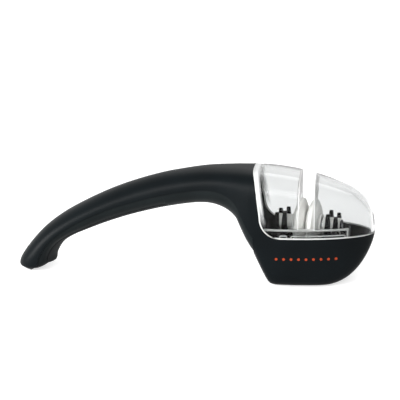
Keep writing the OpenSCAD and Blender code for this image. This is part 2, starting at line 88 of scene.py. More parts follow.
# columns of the rows, as slices so that each stays a column
LOW, TOP, HALF, SEAM, FULL_UP, FULL_DOWN = np.s_[0:2, 2:4, 4:5, 5:6, 6:7, 7:8]

# Handle. A place along it is the number of a row, and may lie between two rows.
SHELL_SOLID = 1.2  # the shell is solid up to this row
COVER_FROM, COVER_TO = 1, LAST - 0.06  # rows where the underside cover starts and ends
COVER_HOLLOW = (1.6, LAST - 0.2)  # rows between which it is hollow
SEAM_GAP = 0.06  # gap between the shell and the underside cover
SCREW_ROW = 11.6  # row of the underside screw that the grip leaves open
SCREW_HOLE, SCREW_DEEP, SCREW_WALL = 2.7, 1.85, 1.0  # radius and depth of its recess, and wall round it
GRIP_FROM, GRIP_TO = 2, 10  # rows where the finger grip starts and ends
GRIP_THINS, GRIP_FADES = (3.2, 3), (9.8, 0.6)  # row where it starts to thin, or to fade, and over how many rows
COVER_OUT = GRIP_TO + np.array([0.02, 0.04])  # rows between which the cover comes out flush with the grip
GRIP_THIN, GRIP_EDGE, GRIP_GAP = 0.9, 0.3, 0.16  # thickness under the arch and at its edges, gap to the cover
GRIP_ANGLE = math.radians(42)  # reach to each side round the section

# Head. Places are along X.
PLAN_TURN = -18  # in front of it the plan narrows to the nose
CHEEK_START, CHEEK_LONG, CHEEK_IN = -16, 14, 0.9  # behind it the head draws in: over what length, how much
CROWN_TOP, CROWN_BEND = -30, 0.0037  # parabola of the crown line: its top, its fall per square millimetre
CROWN_TURN, CROWN_FULL = 20.3, 3.1  # fall of that line to the nose: where it starts, its fullness
KEEL_TURN, KEEL_FULL, KEEL_LIFT = 5, 2.9, 0.75  # rise of the keel line to the nose: where it starts, its powers
KEEL_BACK, KEEL_SLOPE, KEEL_BEND = -19.85, 1.78, 5.1  # its slope at the back: foot, rise per mm, softness there
KEEL_MIDDLE = -8  # flat place where both ends of the keel line meet
KEEL_UNDER, KEEL_TOP = 0.1, 1  # it runs this far below the flat sole, and stays this far below the rim
HOOD_FULL = 4.0  # fullness of the hood's sections
BOWL_FULL = 8  # fullness of the bowl's sections under the head
BOWL_BACK, BOWL_BACK_LONG = 5.4, 12.4  # how much less it is at the back, and over what length
BOWL_NOSE, BOWL_NOSE_FROM, BOWL_NOSE_TO, BOWL_NOSE_POWER = 4, 14, 2.4, 0.9  # less at the nose, up to 2.4 mm from it
EDGE_AT, EDGE_FILLET = -25.5, 11.5  # back edge of the clear cover: its place, and the fillet at its foot
EDGE_LEAN, EDGE_CURL, EDGE_POWER, EDGE_TOP = 3.3, 1.2, 8, 0.1  # its lean, its bend at the top, drop below the top
BACK_X, BACK_Z = ROWS[LAST, LOW]  # the handle ends on a plane through the last low point
BACK_LEAN = 0.0578  # lean of that plane per millimetre of height
CHEEK_GAP = 0.2  # gap between the cheeks and the clear cover
BULKHEAD_IN, BULKHEAD_FROM, BULKHEAD_TO = 0.6, 0.2, 1.6  # bulkhead: inset, and its faces in front of that plane
MOUTH_DROP = 6  # the mouth of the knife slot lies this far below the top of the head
GUIDE_WALL, GUIDE_TOP_GAP, GUIDE_SIDE_GAP = 1.2, 0.05, 0.03  # guide walls, and their gaps to the hood
STRIP_FROM, STRIP_TO, STRIP_DEEP = -22.4, 23.2, 5.2  # latch strips: their ends, and their depth below the rim
STRIP_GAP, STRIP_WALL, STRIP_DROP = 0.7, 0.8, 0.4  # gap to the bowl, wall, and drop of the far one below the rim
BEAD_OUT = 0.05  # the middle of a bead stands this far out of the strip
WHEEL_BORE, WHEEL_GAP = 4.5, 0.45  # radius of a wheel's bore, and half the gap between the wheels
BEVEL_FROM, BEVEL_POWER, WHEEL_ROUND = 7.6, 1.6, 0.8  # radius where the bevel starts, its curve, rounding of the edge

# Closing face of a solid end, as a share of the half width, for the shell, the underside cover and the bowl.
SHELL_CORE, COVER_CORE, BOWL_CORE = 0.9, 0.88, 0.93
# height at which a search for points on the hood starts
SEARCH_FROM = 45.0
# points nearer than the first become one, and edges shorter than the second are dropped; both in metres
MERGE, DROP = 2e-6, 1e-7

# Print on the bowl, in metres: place of its middle, step, radius and number of the dots.
PRINT_AT, DOT_STEP, DOT_RADIUS, DOT_COUNT = (0.0008, 0, 0.0178), 0.0041, 0.00075, 9
# Painted reflection on the clear cover: a whiter, less clear band along its back edge, in metres: lean of its edge,
# its start and width, heights between which it comes in, and the share of light that still passes.
PAINTED_REFLECTION_LEAN, PAINTED_REFLECTION_FROM, PAINTED_REFLECTION_WIDE, PAINTED_REFLECTION_HEIGHTS, PAINTED_REFLECTION_CLEAR = 0.142, -0.0197, 0.0036, (0.036, 0.054), 0.3
# step of the ribs on the sole, in metres
RIB_STEP = 0.0016

# Stage, in metres and degrees: what the camera looks at, its side and height angle, its distance, and the width
# of its frame there; the middle of the part, which the lamps face.
TARGET, SIDE, HEIGHT, FAR, FRAME_WIDE = Vector((-0.06051, 0, 0.04396)), 6.8, 16.2, 0.9, 0.2254
SENSOR_WIDE = 36  # millimetres
MIDDLE = Vector((-0.06, 0, 0.04))
# light of the surround on the part, and the floor's glow to the eye; the surround's own is 1
SURROUND_LIGHT, FLOOR_GLOW = 0.45, 0.66
FLOOR_TONES = (0.58, 0.58, 0.58, 1), (0.6, 0.6, 0.6, 1)


def linear(code):
    """Linear colour of an sRGB hex code."""
    c = np.array([int(code[k:k + 2], 16) for k in (1, 3, 5)]) / 255
    return tuple(float(v) for v in np.where(c <= 0.04045, c / 12.92, ((c + 0.055) / 1.055) ** 2.4))


def length(name, description, default):
    """Property for a length, given in metres."""
    return FloatProperty(name=name, description=description, default=float(default), min=0, precision=5,
        unit="LENGTH", subtype="DISTANCE")


def colour(name, description, code):
    """Property for a colour, given as an sRGB hex code."""
    return FloatVectorProperty(name=name, description=description, default=linear(code), size=3, min=0, max=1,
        subtype="COLOR")


class SharpenerSizes(bpy.types.PropertyGroup):
    """Sizes of the sharpener; the head's come from the solid model."""
    head_half_width: length("Head half width", "Half width of the head at its widest", HOOD_HIGH[1] + COVER_INSIDE)
    rim_height: length("Rim height", "Height where the clear cover meets the bowl", HOOD_LOW[2])
    nose_reach: length("Nose reach", "Distance from the origin to the nose", HOOD_HIGH[0] + COVER_INSIDE)
    crown_height: length("Crown height", "Height of the top of the head", HOOD_HIGH[2])
    bowl_wall: length("Bowl wall", "Wall of the bowl and of the cheeks beside the clear cover", 0.0021)
    bowl_floor: length("Bowl floor", "Floor of the bowl", 0.0028)
    pad_thickness: length("Pad thickness", "Thickness of the sole pad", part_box("sole_pad")[1][2])
    handle_wall: length("Handle wall", "Wall of the handle shell and of the underside cover", 0.0014)
    cover_step: length("Cover step", "Step of the underside cover inside the edge of the shell", 0.0007)
    grip_thickness: length("Grip thickness", "Thickness of the finger grip at the tail", 0.0028)
    clear_wall: length("Clear wall", "Wall of the clear cover", 0.0018)
    slot_place: length("Slot place", "Middle of the knife slot in front of the origin", 0.0004)
    slot_top_width: length("Slot top width", "Width of the knife slot at its mouth", 0.0079)
    slot_low_width: length("Slot low width", "Width of the knife slot at its foot", 0.0084)
    slot_foot: length("Slot foot", "Height of the foot of the knife slot", 0.0346)
    guide_foot: length("Guide foot", "Height where the guide walls end above the wheels", 0.0484)
    # the edge band is drawn light grey, a painted highlight along the clear cover's edge
    edge_band: length("Edge band", "Width of the frosted band along the edge of the clear cover", 0.0007)
    wheel_radius: length("Wheel radius", "Radius of each ceramic wheel", (WHEEL_HIGH[2] - WHEEL_LOW[2]) / 2)
    wheel_thickness: length("Wheel thickness", "Thickness of each wheel at its hub", 0.0065)
    wheel_edge: length("Wheel edge", "Thickness of each wheel at its edge", 0.0024)
    strip_rise: length("Strip rise", "Height of the near latch strip above the rim", 0.0051)
    bead_radius: length("Bead radius", "Radius of the raised beads on the latch strips", 0.0005)


class SharpenerColours(bpy.types.PropertyGroup):
    """Colours of the sharpener's materials."""
    body: colour("Body", "Soft-touch lacquer of the handle and bowl", "#080c0e")
    underside: colour("Underside", "Moulded plastic of the underside cover", "#121617")
    grip: colour("Grip", "Rubber of the finger grip", "#17191a")
    clear: colour("Clear", "Clear plastic of the hood and strips", "#e5e6e6")
    # edge highlight: light grey on the clear cover's edge and on the strip's beads, a painted highlight for the
    # bright lines that light draws there
    frosted: colour("Frosted", "Frosted edges and beads of the clear plastic", "#cfd1cf")
    # slot shade: the slot's sides and guide walls, less clear so that they read greyed, a painted shade for the grey
    # lines along the slot's edges
    milled: colour("Milled", "Milled faces of the knife slot and its guide walls", "#e2e2e1")
    cradle: colour("Cradle", "Glossy plastic of the wheel cradle", "#050506")
    ceramic: colour("Ceramic", "Ceramic of the wheels", "#dfdfdc")
    bush: colour("Bush", "Moulded plastic of the hubs and bushes", "#d0d0cd")
    steel: colour("Steel", "Steel of the axle, washers and screws", "#c3c5c8")
    clip: colour("Clip", "Blackened steel of the axle clips", "#2a2a2c")
    pad: colour("Pad", "Rubber of the sole pad", "#17181a")
    mark: colour("Mark", "Printed row of dots on the bowl", "#8f371e")


def sizes():
    """The sizes in millimetres, with the middle of the fillet at the foot of the clear cover's back edge."""
    group = bpy.context.scene.sharpener_sizes
    f = SimpleNamespace(**{k: 1000 * getattr(group, k) for k in SharpenerSizes.__annotations__})
    f.fillet_x, f.fillet_z = EDGE_AT + EDGE_FILLET, f.rim_height + EDGE_FILLET
    return f


# Curves of the head, for whole arrays.

def share(t):
    """t held between 0 and 1."""
    return np.clip(t, 0, 1)


def ease(t):
    """Smooth step from 0 to 1: three squares less two cubes of t."""
    return share(t) ** 2 * (3 - 2 * share(t))


def plan(f, x, inset):
    """Half width of the head in plan: an ellipse to the nose, and a slow narrowing to the handle."""
    wide = f.head_half_width - inset - CHEEK_IN * share((CHEEK_START - x) / CHEEK_LONG) ** 2
    return wide * np.sqrt(1 - share((x - PLAN_TURN) / (f.nose_reach - inset - PLAN_TURN)) ** 2)


def crown(f, x, inset):
    """Crown line: a flat parabola that ends at the nose in a rounded square."""
    u = share((x - CROWN_TURN) / (f.nose_reach - inset - CROWN_TURN))
    high = f.crown_height - inset - CROWN_BEND * (x - CROWN_TOP) ** 2 - f.rim_height
    return f.rim_height + high * (1 - u ** CROWN_FULL) ** (1 / CROWN_FULL)


def keel(f, x, inset):
    """Keel line: flat under the head, a rounded rise at the nose, and a straight slope with a soft foot behind."""
    base = f.pad_thickness - KEEL_UNDER + inset
    u = share((x - KEEL_TURN) / (f.nose_reach - inset - KEEL_TURN))
    slope = KEEL_SLOPE * (KEEL_BACK - x + inset)
    nose = f.rim_height - (f.rim_height - base) * (1 - u ** KEEL_FULL) ** KEEL_LIFT
    back = np.minimum(f.rim_height - KEEL_TOP, base + (slope + np.sqrt(slope ** 2 + KEEL_BEND)) / 2)
    return np.where(x > KEEL_MIDDLE, nose, back)


def around(a, n):
    """Point at angle a on a rounded square of fullness n: (cos a, |sin a|) divided by their n-norm."""
    c, s = np.cos(a), np.abs(np.sin(a))
    r = (np.abs(c) ** n + s ** n) ** (-1 / n)
    return c * r, s * r


def hood(f, x, a, inset):
    """Skin of the head above the rim: a rounded square between the plan and the crown line."""
    c, s = around(a, HOOD_FULL)
    return np.stack([x, plan(f, x, inset) * c, f.rim_height + (crown(f, x, inset) - f.rim_height) * s], -1)


def hood_half(f, x, z, inset):
    """Half width of the head's skin above the rim at a place x, z."""
    h = share((z - f.rim_height) / (crown(f, x, inset) - f.rim_height))
    return plan(f, x, inset) * (1 - h ** HOOD_FULL) ** (1 / HOOD_FULL)


def bowl_skin(f, x, a, side, floor):
    """Skin of the bowl: a rounded square from the plan to the keel line, fuller under the head and cut flat below."""
    to_back = share((CHEEK_START - x) / BOWL_BACK_LONG)
    to_nose = share((x - BOWL_NOSE_FROM) / (f.nose_reach - BOWL_NOSE_TO - BOWL_NOSE_FROM)) ** BOWL_NOSE_POWER
    c, s = around(a, BOWL_FULL - BOWL_BACK * to_back - BOWL_NOSE * to_nose)
    z = f.rim_height - (f.rim_height - keel(f, x, floor)) * s
    return np.stack([x, plan(f, x, side) * c, np.maximum(f.pad_thickness + floor, z)], -1)


def cover_edge(f, z):
    """Place along X of the clear cover's back edge: a fillet up from the rim, then a line that leans back."""
    t = np.maximum(0, (z - f.fillet_z) / (f.crown_height - EDGE_TOP - f.fillet_z))
    low = f.fillet_x - np.sqrt(np.maximum(0, EDGE_FILLET ** 2 - (f.fillet_z - z) ** 2))
    return np.where(z <= f.fillet_z, low, EDGE_AT - EDGE_LEAN * t - EDGE_CURL * t ** EDGE_POWER)


def back_face(z):
    """Place along X of the leaning plane where the handle ends and the head begins."""
    return BACK_X - BACK_LEAN * (z - BACK_Z)


def between(f, a, inset, place, steps=8):
    """Hood points whose x is place(z): x and z are worked out in turn until they agree."""
    x = place(np.full(np.broadcast(a, place(np.array(SEARCH_FROM))).shape, SEARCH_FROM))
    for _ in range(steps):
        z = f.rim_height + (crown(f, x, inset) - f.rim_height) * around(a, HOOD_FULL)[1]
        x = place(z)
    return hood(f, x, np.broadcast_to(a, x.shape), inset)


# Curves of the handle.

def handle_rows(s):
    """Rows at the places s: a cubic curve that passes through the rows of the table."""
    i = np.clip(np.floor(s).astype(int), 0, LAST - 1)
    t = (s - i)[:, None]
    a, b, c, d = ROWS[np.maximum(i - 1, 0)], ROWS[i], ROWS[i + 1], ROWS[np.minimum(i + 2, LAST)]
    return 0.5 * (2 * b + (c - a) * t + (2 * a - 5 * b + 4 * c - d) * t ** 2 + (3 * b - a - 3 * c + d) * t ** 3)


def row_way(r):
    """Direction of each row, from its low point to its top point, as x and z of length 1."""
    way = r[:, TOP] - r[:, LOW]
    return way / np.linalg.norm(way, axis=1, keepdims=True)


def on_row(r, y, v):
    """Points at height v above the low point of each row and y to the side."""
    low, way = r[:, LOW], row_way(r)
    return np.stack([low[:, :1] + v * way[:, :1], y, low[:, 1:] + v * way[:, 1:]], -1)


def upper_skin(s, a, inset):
    """Upper skin of the handle: above the seam, half a rounded square between the seam and the top line."""
    r = handle_rows(s)
    c, v = around(a[None, :], r[:, FULL_UP])
    high = np.linalg.norm(r[:, TOP] - r[:, LOW], axis=1, keepdims=True) - r[:, SEAM] - inset
    return on_row(r, (r[:, HALF] - inset) * c, r[:, SEAM] + high * v)


def grip_depth(f, s):
    """Thickness of the finger grip along the handle: full at the tail, thin under the arch, nothing past its end."""
    thins, fades = (ease((s - start) / rows) for start, rows in (GRIP_THINS, GRIP_FADES))
    depth = f.grip_thickness - (f.grip_thickness - GRIP_THIN) * thins - GRIP_THIN * fades
    return np.where(s > COVER_OUT.mean(), 0, depth)


def lower_skin(f, s, a, inset):
    """Skin of the underside cover: below the seam, half a rounded square that leaves room for the grip."""
    r = handle_rows(s)
    c, v = around(a[None, :], r[:, FULL_DOWN])
    seam = r[:, SEAM] - SEAM_GAP
    depth = seam - grip_depth(f, s)[:, None] - inset
    return on_row(r, (r[:, HALF] - f.cover_step - inset) * c, seam - depth * v)


# Meshes.

def recess(points, at, way, radius, depth, wall=0.25):
    """Points nearer than radius to a line are moved along it by depth, over a sloping wall of the given width."""
    off = points - at
    far = np.linalg.norm(off - (off @ way)[..., None] * way, axis=-1)
    return points + depth * share((radius - far) / wall)[..., None] * way


def cells(index):
    """Quads of a grid of point numbers."""
    return np.stack([index[:-1, :-1], index[1:, :-1], index[1:, 1:], index[:-1, 1:]], -1)


def skin(points, tag=0):
    """One grid as (points, quads, tags); a grid that ends on its own start, or on a point, is closed by merging."""
    index = np.arange(points.shape[0] * points.shape[1]).reshape(points.shape[:2])
    quads = cells(index).reshape(-1, 4)
    return points.reshape(-1, 3), quads, np.full(len(quads), tag)


def shell(outer, inner, keep=None, band=None):
    """Wall between two grids: the outer one, the inner one turned round, and a strip along every open edge.

    keep says which cells exist. band gives the tag of each cell; a strip takes the tag of the cell beside it.
    """
    m, n = outer.shape[:2]
    keep = np.ones((m - 1, n - 1), bool) if keep is None else keep
    band = np.zeros((m - 1, n - 1), int) if band is None else band
    one = np.arange(m * n).reshape(m, n)
    two = one + m * n
    quads, tags = [cells(one)[keep], cells(two)[keep][:, ::-1]], [band[keep], band[keep]]
    wide = np.pad(keep, 1)
    # edges that run along the first index, open on their low or on their high side
    low, high = wide[1:-1, :-1], wide[1:-1, 1:]
    i, j = np.nonzero(high & ~low)
    quads.append(np.stack([one[i + 1, j], one[i, j], two[i, j], two[i + 1, j]], -1))
    tags.append(band[i, j])
    i, j = np.nonzero(low & ~high)
    quads.append(np.stack([one[i, j], one[i + 1, j], two[i + 1, j], two[i, j]], -1))
    tags.append(band[i, j - 1])
    # edges that run along the second index
    low, high = wide[:-1, 1:-1], wide[1:, 1:-1]
    i, j = np.nonzero(high & ~low)
    quads.append(np.stack([one[i, j], one[i, j + 1], two[i, j + 1], two[i, j]], -1))
    tags.append(band[i, j])
    i, j = np.nonzero(low & ~high)
    quads.append(np.stack([one[i, j + 1], one[i, j], two[i, j], two[i, j + 1]], -1))
    tags.append(band[i - 1, j])
    return np.concatenate([outer.reshape(-1, 3), inner.reshape(-1, 3)]), np.concatenate(quads), np.concatenate(tags)


def tube(path, radius, closed=False, n=12):
    """Round bead along a path on an upright face: circles square to the path, with half balls at open ends."""
    path = np.concatenate([path, path[:1]]) if closed else path
    way = np.gradient(path, axis=0)
    if closed:
        way[0] = way[-1] = path[1] - path[-2]
    way /= np.linalg.norm(way, axis=1, keepdims=True)
    side = np.cross(way, np.array([0.0, -1.0, 0.0]))
    side /= np.linalg.norm(side, axis=1, keepdims=True)
    out = np.cross(side, way)
    t = np.linspace(0, 2 * np.pi, n + 1)
    ring = side[:, None] * np.cos(t)[None, :, None] + out[:, None] * np.sin(t)[None, :, None]
    body = path[:, None] + radius * ring
    if closed:
        return skin(body)
    # each half ball has two rings and a tip
    lap = radius * np.array([0.85, 0.5])
    reach = np.sqrt(radius ** 2 - lap ** 2)
    first = [path[0] - way[0] * l + r * ring[0] for l, r in zip(lap, reach)]
    final = [path[-1] + way[-1] * l + r * ring[-1] for l, r in zip(lap[::-1], reach[::-1])]
    tip = [np.tile(path[0] - way[0] * radius, (n + 1, 1)), np.tile(path[-1] + way[-1] * radius, (n + 1, 1))]
    return skin(np.stack([tip[0], *first, *body, *final, tip[1]]))


def lathe(profile, n=160):
    """Closed profile of (place along the axle, radius) turned about the axle."""
    t = np.linspace(0, 2 * np.pi, n + 1)
    side = np.array([-AXLE_WAY[1], AXLE_WAY[0], 0])
    up = np.array([0, 0, 1.0])
    ring = np.cos(t)[:, None] * side + np.sin(t)[:, None] * up
    profile = np.concatenate([profile, profile[:1]])
    return skin(AXLE_AT + profile[:, None, :1] * AXLE_WAY + profile[:, None, 1:] * ring)


def volume(points, quads):
    """Signed volume inside a closed set of quads; it is positive where the faces point outwards."""
    a, b, c, d = (points[quads[:, k]] for k in range(4))
    return np.einsum("ij,ij->", a, np.cross(b, c)) + np.einsum("ij,ij->", a, np.cross(c, d))


def piece(name, parts, finishes, node, body=BODY, sharp=38):
    """Object made of closed parts, each turned outwards, with one finish for each tag; it stands for a node."""
    points, quads, tags, start = [], [], [], 0
    for p, q, g in parts:
        quads.append((q if volume(p, q) > 0 else q[:, ::-1]) + start)
        points.append(p)
        tags.append(g)
        start += len(p)
    mesh = bpy.data.meshes.new(name)
    mesh.from_pydata((np.concatenate(points) / 1000).tolist(), [], np.concatenate(quads).tolist())
    mesh.polygons.foreach_set("material_index", np.concatenate(tags).astype(np.int32))
    form = bmesh.new()
    form.from_mesh(mesh)
    bmesh.ops.remove_doubles(form, verts=form.verts, dist=MERGE)
    bmesh.ops.dissolve_degenerate(form, edges=form.edges, dist=DROP)
    form.to_mesh(mesh)
    form.free()
    if len(mesh.polygons) == 0:
        raise RuntimeError(name + " has no faces")
    for made in finishes:
        mesh.materials.append(made)
    mesh.shade_smooth()
    mesh.set_sharp_from_angle(angle=math.radians(sharp))
    obj = bpy.data.objects.new(name, mesh)
    bpy.context.scene.collection.objects.link(obj)
    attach(obj, body)
    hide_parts(node)


# Materials.

def add(tree, kind, inputs=None, **settings):
    """Adds a node with its settings; an input that is a socket is linked, and any other is set."""
    node = tree.nodes.new(kind)
    for key, value in settings.items():
        setattr(node, key, value)
    for key, value in (inputs or {}).items():
        if isinstance(value, bpy.types.NodeSocket):
            tree.links.new(value, node.inputs[key])
        else:
            node.inputs[key].default_value = value
    return node


def finish(name, **constants):
    """New material, its tree, shader and coordinates, with constants on the shader's sockets; it is made once."""
    made = bpy.data.materials.get(name)
    if made:
        return made, None, None, None
    made = bpy.data.materials.new(name)
    made.use_nodes = True
    tree = made.node_tree
    shader = tree.nodes["Principled BSDF"]
    for key, value in constants.items():
        shader.inputs[key.replace("_", " ")].default_value = value
    return made, tree, shader, add(tree, "ShaderNodeTexCoord").outputs["Object"]


def mottle(tree, shader, place, tone, spread, patch, grain, rough, bump=0):
    """Colour that drifts by a spread over patches, roughness between two values, and a bump a fifth of a grain deep.

    tone names a colour of the property group; patch and grain are sizes in millimetres.
    """
    tone = getattr(bpy.context.scene.sharpener_colours, tone)
    slow = add(tree, "ShaderNodeTexNoise", {"Vector": place, "Scale": 1000 / patch, "Detail": 3.0}).outputs["Fac"]
    fine = add(tree, "ShaderNodeTexNoise", {"Vector": place, "Scale": 1000 / grain, "Detail": 2.0}).outputs["Fac"]
    ramp = add(tree, "ShaderNodeValToRGB", {"Fac": slow})
    dark, light = ramp.color_ramp.elements
    dark.position, light.position = 0.3, 0.7
    dark.color = tuple(v * (1 - spread) for v in tone) + (1,)
    light.color = tuple(min(1, v * (1 + spread)) for v in tone) + (1,)
    tree.links.new(ramp.outputs["Color"], shader.inputs["Base Color"])
    level = add(tree, "ShaderNodeMapRange", {"Value": fine, "To Min": rough[0], "To Max": rough[1]})
    tree.links.new(level.outputs["Result"], shader.inputs["Roughness"])
    if bump:
        relief = add(tree, "ShaderNodeBump", {"Height": fine, "Strength": bump, "Distance": grain / 5000})
        tree.links.new(relief.outputs["Normal"], shader.inputs["Normal"])
    return ramp.outputs["Color"]


def plain(name, tone, spread, patch, grain, rough, bump=0, **constants):
    """Finish that has nothing but a mottled surface."""
    made, tree, shader, place = finish(name, **constants)
    if tree:
        mottle(tree, shader, place, tone, spread, patch, grain, rough, bump)
    return made


def soft_touch_lacquer():
    """Soft-touch lacquer on moulded ABS: sprayed, so it is satin with a broad dim gloss and a faint orange peel.

    The lacquer carries a printed row of dots, along X, on the near side of the bowl.
    """
    made, tree, shader, place = finish("soft_touch_lacquer_on_ABS", IOR=1.46, Specular_IOR_Level=0.06)
    if tree:
        # peel of 0.5 mm, drawn that coarse so that it shows
        tone = mottle(tree, shader, place, "body", spread=0.18, patch=22.0, grain=0.5, rough=(0.36, 0.44), bump=0.04)
        # distance to the nearest of an endless row of dots
        half = DOT_STEP / 2
        off = add(tree, "ShaderNodeVectorMath", {0: place, 1: PRINT_AT}, operation="SUBTRACT").outputs[0]
        step = add(tree, "ShaderNodeVectorMath", {0: off, 1: (half, 1, 1), 2: (-half, -1, -1)}, operation="WRAP")
        flat = add(tree, "ShaderNodeVectorMath", {0: step.outputs[0], 1: (1, 0, 1)}, operation="MULTIPLY")
        far = add(tree, "ShaderNodeVectorMath", {0: flat.outputs[0]}, operation="LENGTH").outputs["Value"]
        # the printed ones: inside a dot, within the row's length, on the near side
        dot = add(tree, "ShaderNodeMath", {0: far, 1: DOT_RADIUS}, operation="LESS_THAN").outputs[0]
        part = add(tree, "ShaderNodeSeparateXYZ", {"Vector": off}).outputs
        reach = add(tree, "ShaderNodeMath", {0: part["X"], 1: 0.0, 2: DOT_COUNT * half}, operation="COMPARE")
        near = add(tree, "ShaderNodeMath", {0: part["Y"], 1: 0.0}, operation="LESS_THAN").outputs[0]
        row = add(tree, "ShaderNodeMath", {0: dot, 1: reach.outputs[0]}, operation="MULTIPLY").outputs[0]
        mask = add(tree, "ShaderNodeMath", {0: row, 1: near}, operation="MULTIPLY").outputs[0]
        mark = tuple(bpy.context.scene.sharpener_colours.mark) + (1,)
        mix = add(tree, "ShaderNodeMix", {0: mask, 6: tone, 7: mark}, data_type="RGBA")
        tree.links.new(mix.outputs[2], shader.inputs["Base Color"])
    return made


def moulded_abs():
    """Black ABS from an etched mould: even satin with a fine grain."""
    return plain("etched_black_ABS", "underside", spread=0.2, patch=18.0, grain=0.4, rough=(0.42, 0.52), bump=0.1,
        IOR=1.53, Specular_IOR_Level=0.05)


def grip_rubber():
    """Thermoplastic rubber from a spark-eroded mould: matt, with a leathery grain that breaks the light."""
    return plain("grip_rubber", "grip", spread=0.2, patch=9.0, grain=0.7, rough=(0.6, 0.75), bump=0.25,
        IOR=1.5, Specular_IOR_Level=0.12)


def clear_plastic():
    """Clear acrylic from a polished mould: sharp gloss, with a slight flow pattern that shifts its roughness.

    The hood's back edge leans back. Along it the plastic is drawn whiter and less clear, a painted reflection of its
    thick moulded edge; this dies out towards the nose and towards the rim.
    """
    made, tree, shader, place = finish("clear_acrylic", IOR=1.49, Transmission_Weight=1.0,
        Specular_Tint=(0.14, 0.14, 0.14, 1))
    if tree:
        mottle(tree, shader, place, "clear", spread=0.012, patch=14.0, grain=6.0, rough=(0.015, 0.04))
        # painted reflection: less light passes, and the plastic looks whiter, near the back edge and high up
        lean = add(tree, "ShaderNodeVectorMath", {0: place, 1: (1, 0, PAINTED_REFLECTION_LEAN)}, operation="DOT_PRODUCT")
        inner = add(tree, "ShaderNodeMapRange", {"Value": lean.outputs["Value"], "From Min": PAINTED_REFLECTION_FROM,
            "From Max": PAINTED_REFLECTION_FROM + PAINTED_REFLECTION_WIDE}, interpolation_type="SMOOTHSTEP").outputs["Result"]
        rise = add(tree, "ShaderNodeSeparateXYZ", {"Vector": place}).outputs["Z"]
        low = add(tree, "ShaderNodeMapRange", {"Value": rise, "From Min": PAINTED_REFLECTION_HEIGHTS[0],
            "From Max": PAINTED_REFLECTION_HEIGHTS[1], "To Min": 1.0, "To Max": PAINTED_REFLECTION_CLEAR}).outputs["Result"]
        clear = add(tree, "ShaderNodeMath", {0: inner, 1: low}, operation="MAXIMUM").outputs[0]
        tree.links.new(clear, shader.inputs["Transmission Weight"])
    return made


def edge_highlight_plastic():
    """Edge of the clear acrylic, drawn rough, light grey and less clear: a painted highlight for the bright line that
    light makes along it.
    """
    return plain("ground_acrylic_edge", "frosted", spread=0.03, patch=5.0, grain=0.6, rough=(0.3, 0.4), bump=0.05,
        IOR=1.49, Transmission_Weight=0.25)


def slot_shade_plastic():
    """Acrylic of the knife slot's sides: satin and less clear, so that light passing it is softened and greyed; a
    painted shade for the grey lines along the slot's edges.
    """
    return plain("milled_acrylic", "milled", spread=0.03, patch=6.0, grain=0.5, rough=(0.3, 0.42), bump=0.05,
        IOR=1.49, Transmission_Weight=0.45)


def gloss_black():
    """Black polycarbonate from a polished mould: deep and glossy, with slight sink marks."""
    return plain("polished_black_polycarbonate", "cradle", spread=0.25, patch=10.0, grain=1.2,
        rough=(0.16, 0.26), bump=0.03, IOR=1.58, Specular_IOR_Level=0.1)


def ground_ceramic():
    """Sintered alumina, ground on its bevels: white and matt, with a fine grit."""
    # grit of 0.1 mm, drawn at 0.45 mm so that it shows
    return plain("ground_alumina", "ceramic", spread=0.04, patch=3.0, grain=0.45, rough=(0.42, 0.6), bump=0.15,
        IOR=1.6, Specular_IOR_Level=0.35)


def white_acetal():
    """Natural acetal for bearings: milky, waxy and satin."""
    return plain("natural_acetal", "bush", spread=0.03, patch=5.0, grain=0.6, rough=(0.35, 0.45), bump=0.05,
        IOR=1.48, Specular_IOR_Level=0.4)


def bright_steel():
    """Drawn and turned steel: bright metal with a fine grain that spreads its gloss."""
    return plain("drawn_steel", "steel", spread=0.06, patch=2.5, grain=0.35, rough=(0.22, 0.36), bump=0.06,
        Metallic=1.0)


def blackened_steel():
    """Spring steel with a black oxide skin: dark, dull metal with a faint cloudiness."""
    return plain("black_oxide_steel", "clip", spread=0.15, patch=2.0, grain=0.4, rough=(0.4, 0.55), bump=0.04,
        Metallic=1.0)


def sole_rubber():
    """Moulded rubber with ribs across the sole, matt between them."""
    made, tree, shader, place = finish("ribbed_sole_rubber", IOR=1.5, Specular_IOR_Level=0.2)
    if tree:
        mottle(tree, shader, place, "pad", spread=0.2, patch=6.0, grain=0.6, rough=(0.65, 0.8))
        # a wave of scale 1 has 20 radians per metre
        ribs = add(tree, "ShaderNodeTexWave", {"Vector": place, "Scale": 2 * math.pi / 20 / RIB_STEP,
            "Distortion": 0.0}, bands_direction="X", wave_profile="SIN").outputs["Fac"]
        relief = add(tree, "ShaderNodeBump", {"Height": ribs, "Strength": 0.6, "Distance": 0.0003})
        tree.links.new(relief.outputs["Normal"], shader.inputs["Normal"])
    return made


def white_to_the_eye(tree, seen, otherwise):
    """Strength that the camera, reflections and clear plastic show, and another one for all other rays."""
    path = add(tree, "ShaderNodeLightPath").outputs
    ray = path["Is Camera Ray"]
    for other in ("Is Glossy Ray", "Is Transmission Ray"):
        ray = add(tree, "ShaderNodeMath", {0: ray, 1: path[other]}, operation="MAXIMUM").outputs[0]
    return add(tree, "ShaderNodeMapRange", {"Value": ray, "To Min": otherwise, "To Max": seen}).outputs["Result"]


def dress(names, made):
    """Gives CAD nodes, which keep their own shape, a finish."""
    for name in names:
        node = frame["nodes"][name]
        if not node.material_slots:
            raise RuntimeError(name + " has no material slot")
        for place in node.material_slots:
            place.material = made


# Operators, one for each piece or group of like pieces.

